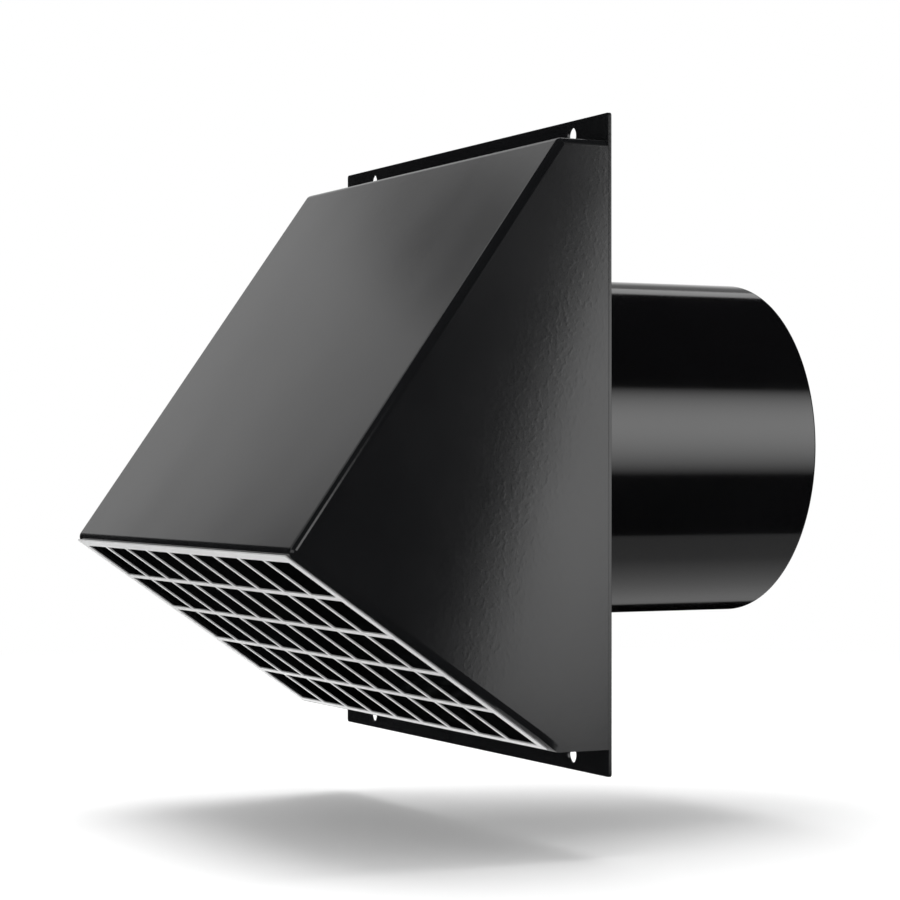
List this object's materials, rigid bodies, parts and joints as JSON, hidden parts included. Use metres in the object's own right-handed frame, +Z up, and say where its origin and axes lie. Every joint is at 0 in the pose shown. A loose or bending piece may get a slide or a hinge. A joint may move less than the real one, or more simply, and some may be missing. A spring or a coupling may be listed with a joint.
{
  "type": "wall duct terminal",
  "caption": "Wedge-shaped sheet-metal wall hood on a flat wall plate, with a square-hole grille under its lip and a round duct spigot behind, for ending an air duct on an outside wall.",
  "frame": {"origin": "on the duct's axis, at the wall face of the wall plate", "axes": "+X to the right facing the wall, +Y into the wall along the duct, +Z up"},
  "size_m": [0.21, 0.2268, 0.22],
  "materials": {
    "hood_paint": "semi-gloss black powder coat with a fine orange peel",
    "grille_white": "white satin coat",
    "spigot_gloss": "smooth gloss black"
  },
  "bodies": {
    "root": {"back_plate": "hood_paint", "hood": "hood_paint", "grille": "grille_white", "spigot": "spigot_gloss"}
  },
  "joints": []
}
